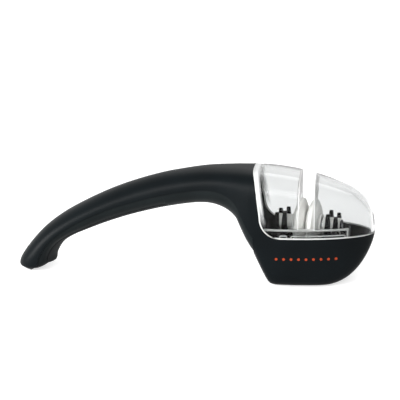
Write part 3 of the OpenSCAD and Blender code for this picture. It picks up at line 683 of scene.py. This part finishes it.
class SHARPENER_OT_body(bpy.types.Operator):
    """Builds the black body: the handle's shell, the cheeks beside the clear cover, the bulkhead and the bowl"""
    bl_idname = "sharpener.body"
    bl_label = "Body"

    def execute(self, context):
        f = sizes()
        a = np.linspace(0, np.pi, 97)
        s = np.concatenate([np.linspace(0, 4, 41), np.linspace(4, LAST, 136)[1:-2]])
        outer, inner = upper_skin(s, a, 0), upper_skin(s, a, f.handle_wall)
        # the tail is solid down to the seam
        r = handle_rows(s)
        flat = on_row(r, SHELL_CORE * r[:, HALF] * np.cos(a), r[:, SEAM] * np.ones_like(a))
        inner = np.where((s < SHELL_SOLID)[:, None, None], flat, inner)
        # cheeks: the head's skin from the handle's end to the clear cover
        u = np.linspace(0, 1, 25)[:, None]
        place = lambda z: back_face(z) + u * (cover_edge(f, z) - CHEEK_GAP - back_face(z))
        cheek_out, cheek_in = between(f, a[None, :], 0, place), between(f, a[None, :], f.bowl_wall, place)
        upper = shell(np.concatenate([outer, cheek_out]), np.concatenate([inner, cheek_in]))
        # bulkhead: the hood's section drawn towards the middle of the rim, as a slab that leans with the back
        t = np.linspace(1, 0, 12)[:, None, None]
        rim = np.array([0, 0, f.rim_height])
        half = (between(f, a[None, :], BULKHEAD_IN, back_face) - rim) * t * [0, 1, 1] + rim
        half[..., 0] = back_face(half[..., 2])
        slab = shell(half + [BULKHEAD_TO, 0, 0], half + [BULKHEAD_FROM, 0, 0])
        # bowl: closed at the back and at the nose, where the inner skin is drawn up to the rim; its steps get
        # shorter in front of x = 18
        fine = 18
        x = np.concatenate([np.linspace(BACK_X, CHEEK_START, 40), np.linspace(CHEEK_START, fine, 30)[1:],
            fine + (f.nose_reach - fine) * np.sin(np.linspace(0, np.pi / 2, 56))[1:]])[:, None] + 0 * a
        low = bowl_skin(f, x, a[None, :], 0, 0)
        deep = bowl_skin(f, x, a[None, :], f.bowl_wall, f.bowl_floor)
        lid = np.stack([x, BOWL_CORE * plan(f, x, 0) * np.cos(a), f.rim_height + 0 * x], -1)
        low[0, :, 0], lid[0, :, 0] = back_face(low[0, :, 2]), back_face(lid[0, :, 2])
        solid = (x < BACK_X + f.bowl_wall) | (x > f.nose_reach - f.bowl_wall)
        bowl = shell(low, np.where(solid[..., None], lid, deep))
        piece("body_shell", [upper, slab, bowl], [soft_touch_lacquer()], "handle_body", sharp=45)
        return {"FINISHED"}


class SHARPENER_OT_underside(bpy.types.Operator):
    """Builds the underside cover with its open screw recess, and the finger grip that lies over it"""
    bl_idname = "sharpener.underside"
    bl_label = "Underside and grip"

    def execute(self, context):
        f = sizes()
        # finer steps round the open recess, and two at the grip's end; the other screws lie under the grip
        a = np.unique(np.concatenate([np.linspace(0, np.pi, 73), np.pi / 2 + np.linspace(-0.42, 0.42, 67)]))
        s = np.unique(np.concatenate([np.linspace(COVER_FROM, 4, 37), np.linspace(4, COVER_TO, 131),
            np.linspace(SCREW_ROW - 0.4, SCREW_ROW + 0.4, 61), COVER_OUT]))
        r = handle_rows(s)
        flat = on_row(r, COVER_CORE * (r[:, HALF] - f.cover_step) * np.cos(a),
            (r[:, SEAM] - SEAM_GAP) * np.ones_like(a))
        solid = ((s < COVER_HOLLOW[0]) | (s > COVER_HOLLOW[1]))[:, None, None]
        # the recess stands square to the low line, between a row just before the screw and one just after it
        before, at, after = handle_rows(SCREW_ROW + np.array([-0.2, 0, 0.2]))[:, LOW]
        way = np.array([before[1] - after[1], 0, after[0] - before[0]]) / np.hypot(*(after - before))
        at = np.array([at[0], 0, at[1]])
        outer = recess(lower_skin(f, s, a, 0), at, way, SCREW_HOLE, SCREW_DEEP)
        inner = recess(lower_skin(f, s, a, f.handle_wall), at, way, SCREW_HOLE + SCREW_WALL, SCREW_DEEP)
        wall = shell(outer, np.where(solid, flat, inner))
        piece("underside_shell", [wall], [moulded_abs()], "underside_cover")
        # grip: upper face on the cover, lower face pushed out by a parabola across it
        s = np.linspace(GRIP_FROM, GRIP_TO, 120)
        k = np.linspace(-1, 1, 41)
        seat = lower_skin(f, s, np.pi / 2 + GRIP_ANGLE * k, -GRIP_GAP)
        way = row_way(handle_rows(s))
        down = GRIP_EDGE + (grip_depth(f, s)[:, None] - GRIP_EDGE - GRIP_GAP) * (1 - k ** 2)
        low = seat - down[..., None] * np.stack([way[:, 0], 0 * s, way[:, 1]], -1)[:, None]
        piece("grip_layer", [shell(seat, low)], [grip_rubber()], "finger_grip")
        return {"FINISHED"}


class SHARPENER_OT_hood(bpy.types.Operator):
    """Builds the clear hood with the knife slot, its guide walls and its edge band, drawn light grey as a painted
    highlight
    """
    bl_idname = "sharpener.hood"
    bl_label = "Clear hood"

    def execute(self, context):
        f = sizes()
        # heights from the rim to the slot's foot, then angles over the top, the same on the far side
        tall = crown(f, np.array(f.slot_place), 0) - f.rim_height
        h = np.concatenate([[0], np.linspace(f.edge_band / tall, (f.slot_foot - f.rim_height) / tall, 6)])
        rise = np.arctan2(h, (1 - h ** HOOD_FULL) ** (1 / HOOD_FULL))
        half = np.concatenate([rise, np.linspace(rise[-1], np.pi / 2, 44)[1:]])
        a = np.concatenate([half, np.pi - half[-2::-1]])[None, :]
        # p runs from 0 at the back edge over 1 and 2 at the sides of the slot to 3 at the nose, with a thin step
        # along the back edge and along each side
        at_back, at_left, at_right = 0.035, 0.98, 2.014
        p = np.concatenate([[0], np.linspace(at_back, at_left, 26), np.linspace(1, 2, 9), [at_right],
            2 + np.sin(np.linspace(0.025, np.pi / 2, 48))])[:, None]

        def slot(z, side):
            """Side of the slot at height z: straight, and narrower at the mouth than at the foot."""
            t = np.maximum(0, (z - f.slot_foot) / (f.crown_height - MOUTH_DROP - f.slot_foot))
            return f.slot_place + side / 2 * (f.slot_low_width + (f.slot_top_width - f.slot_low_width) * t)

        def place(inset):
            """Place along X of every step p, as a function of height."""
            def x_at(z):
                left, right = slot(z, -1), slot(z, 1)
                one, two, three = share(p), share(p - 1), share(p - 2)
                edge = cover_edge(f, z)
                return edge + one * (left - edge) + two * (right - left) + three * (f.nose_reach - inset - right)
            return x_at
        outer, inner = between(f, a, 0, place(0)), between(f, a, f.clear_wall, place(f.clear_wall))
        # cells of the slot are left out; tag 1 is the edge band, drawn light grey as a painted highlight, tag 2 the
        # sides of the slot, greyed as painted shade
        mid_p, mid_a = (p[1:, 0] + p[:-1, 0]) / 2, (a[0, 1:] + a[0, :-1]) / 2
        foot = np.abs(mid_a - np.pi / 2) > np.pi / 2 - rise[-1]
        keep = foot[None, :] | ((mid_p < 1) | (mid_p > 2))[:, None]
        band = np.zeros(keep.shape, int)
        slim = (mid_p > at_left) & (mid_p < 1) | (mid_p > 2) & (mid_p < at_right)
        band[slim[:, None] & ~foot[None, :]] = 2
        band[0], band[:, 0], band[:, -1] = 1, 1, 1
        parts = [shell(outer, inner, keep, band)]
        # guide walls: upright panes beside the slot, from above the wheels to the inside of the hood
        for side in (-1, 1):
            near = f.slot_place + side * (f.slot_top_width / 2 + GUIDE_WALL)
            top = crown(f, np.array(near), f.clear_wall) - GUIDE_TOP_GAP
            z = np.linspace(f.guide_foot, top, 24)[:, None]
            y = np.linspace(-1, 1, 31)[None, :]
            half = lambda x: hood_half(f, x, z, f.clear_wall) - GUIDE_SIDE_GAP
            face = lambda x: np.stack([x + 0 * y, half(x) * y, z + 0 * y], -1)
            # the guide walls take the greyed finish of the painted slot shade
            milled = np.full((z.size - 1, y.size - 1), 2)
            parts.append(shell(face(slot(z, side)), face(slot(z, side) + side * GUIDE_WALL), band=milled))
        piece("hood", parts, [clear_plastic(), edge_highlight_plastic(), slot_shade_plastic()], "clear_cover",
            sharp=30)
        return {"FINISHED"}


class SHARPENER_OT_strips(bpy.types.Operator):
    """Builds the latch strips: the near one with windows and raised beads, the far one plain below the rim"""
    bl_idname = "sharpener.strips"
    bl_label = "Latch strips"

    def execute(self, context):
        f = sizes()
        inset = f.bowl_wall + STRIP_GAP
        rim, low = f.rim_height, f.rim_height - STRIP_DEEP
        # openings as x from, x to, z from, z to
        windows = ((-14.1, -10.1, rim - 0.6, rim + 1.4), (-7.9, 21.6, rim - 0.6, rim + 1.3))
        lug_holes = ((-13.0, -7.0, rim - 3.9, rim - 2.1), (7.0, 13.0, rim - 3.9, rim - 2.1))

        def strip(side, top, cuts):
            """Wall that follows the plan, without the cells inside the cuts, and the function of its faces."""
            face = lambda x, z, i: np.stack([x, side * plan(f, x, i), z], -1)
            edges = np.array(cuts)
            xs = np.unique(np.concatenate([np.linspace(STRIP_FROM, STRIP_TO, 70), edges[:, :2].ravel()]))
            zs = np.unique(np.concatenate([np.linspace(low, top, 12), edges[:, 2:].ravel()]))
            x, z = np.meshgrid(xs, zs, indexing="ij")
            mx, mz = np.meshgrid((xs[1:] + xs[:-1]) / 2, (zs[1:] + zs[:-1]) / 2, indexing="ij")
            keep = np.ones(mx.shape, bool)
            for x0, x1, z0, z1 in cuts:
                keep &= ~((mx > x0) & (mx < x1) & (mz > z0) & (mz < z1))
            return shell(face(x, z, inset), face(x, z, inset + STRIP_WALL), keep), face
        top = rim + f.strip_rise
        wall, face = strip(-1, top, windows + lug_holes)
        # beads: a rail along the top, a stile at the nose end and a rounded ring round each window
        out = inset - BEAD_OUT
        t = np.linspace(STRIP_FROM + 0.2, STRIP_TO - 0.2, 60)
        beads = [tube(face(t, 0 * t + top - 0.55, out), 1.25 * f.bead_radius)]
        t = np.linspace(rim - 1, top - 0.6, 12)
        beads.append(tube(face(0 * t + STRIP_TO - 0.4, t, out), f.bead_radius))
        for x0, x1, z0, z1 in windows:
            r = (z1 - z0) / 2
            q = np.linspace(0, 1, 16)
            turn = np.pi * q[1:-1]
            ring = np.concatenate([
                np.stack([x0 + r + (x1 - x0 - 2 * r) * q, 0 * q + z1], -1),
                np.stack([x1 - r + r * np.sin(turn), (z0 + z1) / 2 + r * np.cos(turn)], -1),
                np.stack([x1 - r - (x1 - x0 - 2 * r) * q, 0 * q + z0], -1),
                np.stack([x0 + r - r * np.sin(turn), (z0 + z1) / 2 - r * np.cos(turn)], -1)])
            beads.append(tube(face(ring[:, 0], ring[:, 1], out), 0.8 * f.bead_radius, closed=True))
        # the beads take the light grey of the painted edge highlight
        piece("near_strip", [wall] + [(p, q, g + 1) for p, q, g in beads], [clear_plastic(), edge_highlight_plastic()],
            "near_latch_strip")
        wall, face = strip(1, rim - STRIP_DROP, lug_holes)
        piece("far_strip", [wall], [clear_plastic()], "far_latch_strip")
        return {"FINISHED"}


class SHARPENER_OT_wheels(bpy.types.Operator):
    """Builds the two ceramic wheels as turned lenses whose bevels form the V"""
    bl_idname = "sharpener.wheels"
    bl_label = "Wheels"

    def execute(self, context):
        f = sizes()
        # profile: flat to the bevel's start, bevel as a power curve, edge as half an ellipse
        t = np.linspace(0, 1, 24)
        drop = (f.wheel_thickness - f.wheel_edge) / 2
        r = BEVEL_FROM + (f.wheel_radius - WHEEL_ROUND - BEVEL_FROM) * t
        outside = WHEEL_GAP + f.wheel_thickness
        rise = np.stack([WHEEL_GAP + drop * t ** BEVEL_POWER, r], -1)
        e = np.linspace(-np.pi / 2, np.pi / 2, 18)[1:-1]
        round_edge = np.stack([WHEEL_GAP + f.wheel_thickness / 2 + f.wheel_edge / 2 * np.sin(e),
            f.wheel_radius - WHEEL_ROUND + WHEEL_ROUND * np.cos(e)], -1)
        fall = np.stack([outside - drop * t[::-1] ** BEVEL_POWER, r[::-1]], -1)
        profile = np.concatenate([[[WHEEL_GAP, WHEEL_BORE]], rise, round_edge, fall, [[outside, WHEEL_BORE]]])
        for name, side in (("left", -1), ("right", 1)):
            piece(name + "_lens", [lathe(profile * [side, 1])], [ground_ceramic()], name + "_wheel",
                body=name + "_roller", sharp=50)
        return {"FINISHED"}


class SHARPENER_OT_insides(bpy.types.Operator):
    """Gives the cradle, bearings, axle, fasteners and sole pad, whose solids stay, their finishes"""
    bl_idname = "sharpener.insides"
    bl_label = "Cradle, bearings and pad"

    def execute(self, context):
        dress(["wheel_cradle"], gloss_black())
        dress(["left_hub", "right_hub", "left_bush", "right_bush"], white_acetal())
        dress(["axle", "centre_washer", "left_thrust_washer", "right_thrust_washer", "cradle_screws",
            "underside_screws"], bright_steel())
        dress(["axle_clips"], blackened_steel())
        dress(["sole_pad"], sole_rubber())
        return {"FINISHED"}


class SHARPENER_OT_stage(bpy.types.Operator):
    """Sets the camera at the photograph's angle, a pale floor, soft lamps and a white surround"""
    bl_idname = "sharpener.stage"
    bl_label = "Stage"

    def execute(self, context):
        scene = context.scene
        side, height = math.radians(SIDE), math.radians(HEIGHT)
        away = Vector((math.sin(side) * math.cos(height), -math.cos(side) * math.cos(height), math.sin(height)))
        lens = bpy.data.cameras.new("camera")
        lens.sensor_width = SENSOR_WIDE
        lens.lens = SENSOR_WIDE * FAR / FRAME_WIDE
        camera = bpy.data.objects.new("camera", lens)
        camera.location = TARGET + away * FAR
        camera.rotation_euler = (-away).to_track_quat("-Z", "Y").to_euler()
        scene.collection.objects.link(camera)
        scene.camera = camera

        def lamp(name, way, distance, size, power):
            """Soft lamp that faces the middle of the part; distance and size in metres, power in watts."""
            light = bpy.data.lights.new(name, "AREA")
            light.shape, light.size, light.size_y, light.energy = "RECTANGLE", size[0], size[1], power
            obj = bpy.data.objects.new(name, light)
            way = Vector(way).normalized()
            obj.location = MIDDLE + way * distance
            obj.rotation_euler = (-way).to_track_quat("-Z", "Y").to_euler()
            scene.collection.objects.link(obj)
        lamp("front_softbox", way=(-0.12, -0.84, 0.5), distance=1.1, size=(1.3, 0.4), power=17)
        lamp("back_softbox", way=(0.1, 0.8, 0.9), distance=1.2, size=(1.2, 0.6), power=2.5)
        lamp("left_softbox", way=(-0.85, -0.5, 0.12), distance=1.0, size=(0.5, 0.6), power=20)

        # surround: white to the eye, in reflections and through clear plastic; dimmer as a light
        world = bpy.data.worlds.new("white_surround")
        scene.world = world
        world.use_nodes = True
        tree = world.node_tree
        sky = tree.nodes["Background"]
        sky.inputs["Color"].default_value = (1, 1, 1, 1)
        tree.links.new(white_to_the_eye(tree, 1.0, SURROUND_LIGHT), sky.inputs["Strength"])

        # floor: pale paper that looks white where it is lit and keeps a soft shadow
        y, x = np.meshgrid(np.linspace(-3, 4, 8), np.linspace(-3.5, 3.5, 8))
        p, q, _ = skin(np.stack([x, y, 0 * x], -1))
        mesh = bpy.data.meshes.new("floor")
        mesh.from_pydata(p.tolist(), [], q.tolist())
        floor = bpy.data.objects.new("floor", mesh)
        scene.collection.objects.link(floor)
        paper, tree, shader, place = finish("white_paper_sweep", Roughness=0.9, Specular_IOR_Level=0.1,
            Emission_Color=(1, 1, 1, 1))
        # grain of 2.5 mm
        grain = add(tree, "ShaderNodeTexNoise", {"Vector": place, "Scale": 1 / 0.0025}).outputs["Fac"]
        ramp = add(tree, "ShaderNodeValToRGB", {"Fac": grain})
        for element, tone in zip(ramp.color_ramp.elements, FLOOR_TONES):
            element.color = tone
        tree.links.new(ramp.outputs["Color"], shader.inputs["Base Color"])
        tree.links.new(white_to_the_eye(tree, FLOOR_GLOW, 0.0), shader.inputs["Emission Strength"])
        mesh.materials.append(paper)
        scene.view_settings.view_transform = "Standard"
        return {"FINISHED"}


class SHARPENER_PT_panel(bpy.types.Panel):
    """Lists the steps and the values in the sidebar"""
    bl_idname = "SHARPENER_PT_panel"
    bl_label = "Knife sharpener"
    bl_space_type = "VIEW_3D"
    bl_region_type = "UI"
    bl_category = "Sharpener"

    def draw(self, context):
        for step in STEPS:
            self.layout.operator(step.bl_idname)
        for group, kind in ((context.scene.sharpener_sizes, SharpenerSizes),
                (context.scene.sharpener_colours, SharpenerColours)):
            box = self.layout.box()
            for key in kind.__annotations__:
                box.prop(group, key)


STEPS = (SHARPENER_OT_body, SHARPENER_OT_underside, SHARPENER_OT_hood, SHARPENER_OT_strips, SHARPENER_OT_wheels,
    SHARPENER_OT_insides, SHARPENER_OT_stage)
CLASSES = (SharpenerSizes, SharpenerColours) + STEPS + (SHARPENER_PT_panel,)


def register():
    for kind in CLASSES:
        bpy.utils.register_class(kind)
    bpy.types.Scene.sharpener_sizes = bpy.props.PointerProperty(type=SharpenerSizes)
    bpy.types.Scene.sharpener_colours = bpy.props.PointerProperty(type=SharpenerColours)


def unregister():
    del bpy.types.Scene.sharpener_colours
    del bpy.types.Scene.sharpener_sizes
    for kind in reversed(CLASSES):
        bpy.utils.unregister_class(kind)


def main():
    """Builds every piece and the stage."""
    register()
    bpy.ops.sharpener.body()
    bpy.ops.sharpener.underside()
    bpy.ops.sharpener.hood()
    bpy.ops.sharpener.strips()
    bpy.ops.sharpener.wheels()
    bpy.ops.sharpener.insides()
    bpy.ops.sharpener.stage()


if __name__ == "__main__":
    main()
